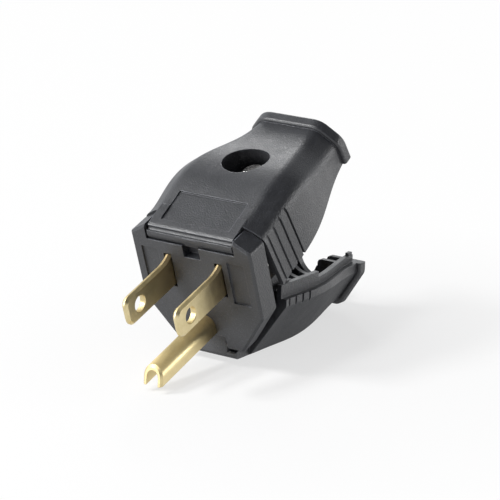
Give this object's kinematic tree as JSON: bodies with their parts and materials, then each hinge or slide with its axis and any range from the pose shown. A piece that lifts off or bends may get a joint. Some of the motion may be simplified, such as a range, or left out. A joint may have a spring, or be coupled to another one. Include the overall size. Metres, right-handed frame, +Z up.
{
  "type": "grounded plug",
  "caption": "Grounded mains plug for wiring by hand: a dark face block with brass blades and a folded ground pin, and hinged half covers standing open.",
  "frame": {"origin": "on the mating face, midway between the blades", "axes": "+X to the right as the blades are seen, +Y back towards the cord end, +Z up; the plug lies on its ground pin's tip and its lower collar, nose down"},
  "size_m": [0.0302, 0.0642, 0.046],
  "materials": {
    "body_plastic": "fine-grained charcoal moulding",
    "contact_brass": "satin, lightly scratched",
    "screw_steel": "plated"
  },
  "bodies": {
    "plug_body": {"front_block": "body_plastic", "line_blade": "contact_brass", "neutral_blade": "contact_brass", "ground_pin": "contact_brass", "line_screw": "screw_steel", "neutral_screw": "screw_steel", "ground_screw": "screw_steel", "line_clamp": "contact_brass", "neutral_clamp": "contact_brass", "ground_clamp": "contact_brass"},
    "upper_cover": {"upper_cover": "body_plastic", "cover_screw": "screw_steel"},
    "lower_cover": {"lower_cover": "body_plastic", "cover_nut": "screw_steel"}
  },
  "joints": [
    {"name": "upper_cover_hinge", "type": "hinge", "parent": "plug_body", "child": "upper_cover", "pos_m": [0, -0.00031, 0.00865], "axis": [1, 0, 0], "range_deg": [-15, 35]},
    {"name": "lower_cover_hinge", "type": "hinge", "parent": "plug_body", "child": "lower_cover", "pos_m": [0, 0.00599, -0.01607], "axis": [-1, 0, 0], "range_deg": [-20.5, 35]}
  ]
}
